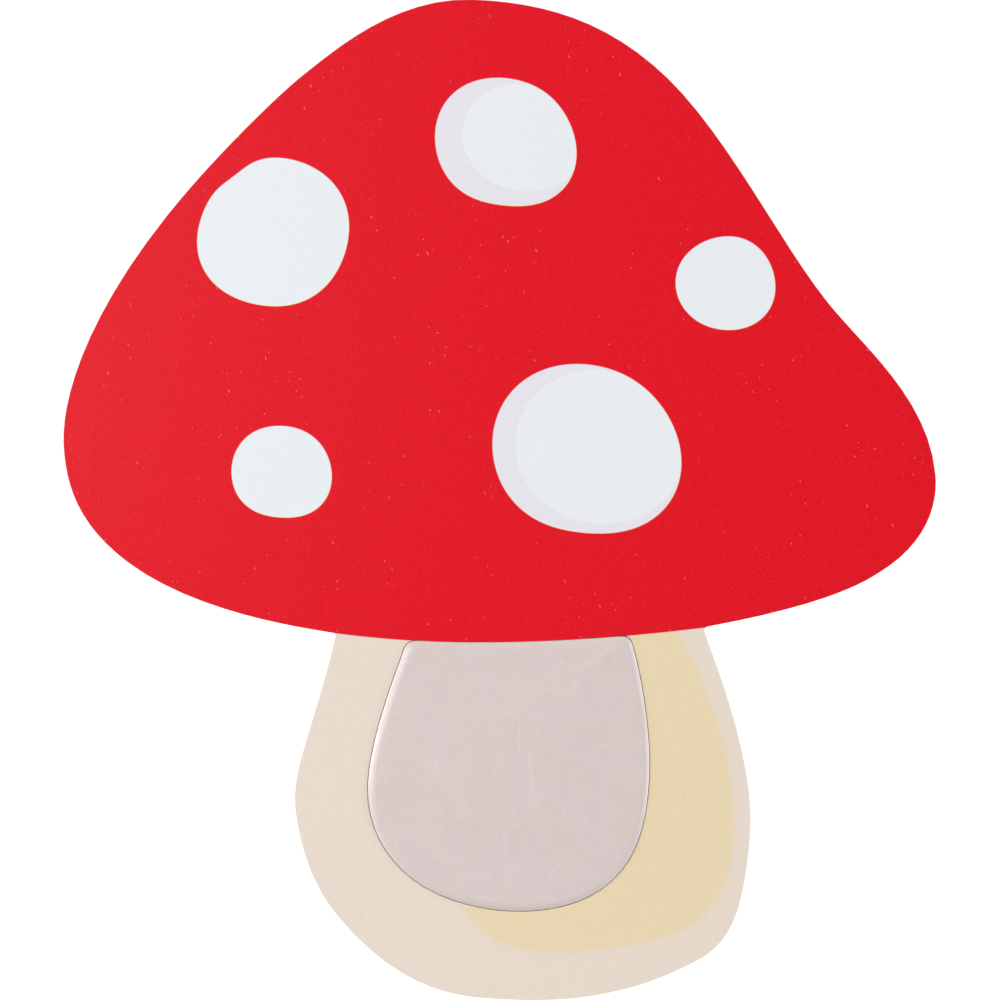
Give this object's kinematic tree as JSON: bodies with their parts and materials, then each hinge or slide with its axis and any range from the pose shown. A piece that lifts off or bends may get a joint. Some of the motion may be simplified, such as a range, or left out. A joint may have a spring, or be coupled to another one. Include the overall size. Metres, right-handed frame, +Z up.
{
  "type": "mushroom-shaped wall panel with a padded touch inset",
  "caption": "Flat wall panel cut to the outline of a white-spotted red toadstool, with a padded leatherette inset let into its stem and keyhole plates in its back.",
  "frame": {"origin": "middle of the flat back, which lies against the wall", "axes": "+X to the viewer's right, +Y into the wall, +Z up; the printed face looks along -Y"},
  "size_m": [0.4357, 0.0155, 0.4999],
  "materials": {
    "print_laminate": "satin",
    "fibreboard": "matte",
    "backing_laminate": "satin",
    "leatherette": "satin",
    "foam": "matte",
    "plywood": "matte",
    "tape": "matte",
    "zinc_steel": "satin",
    "zinc_screw": "satin"
  },
  "bodies": {
    "root": {"core_board": "fibreboard", "face_sheet": "print_laminate", "backing_sheet": "backing_laminate", "pad_cover": "leatherette", "pad_foam": "foam", "pad_base": "plywood", "pad_tape_upper": "tape", "pad_tape_lower": "tape", "hanger_left": "zinc_steel", "hanger_left_screw_upper": "zinc_screw", "hanger_left_screw_lower": "zinc_screw", "hanger_right": "zinc_steel", "hanger_right_screw_upper": "zinc_screw", "hanger_right_screw_lower": "zinc_screw"}
  },
  "joints": []
}
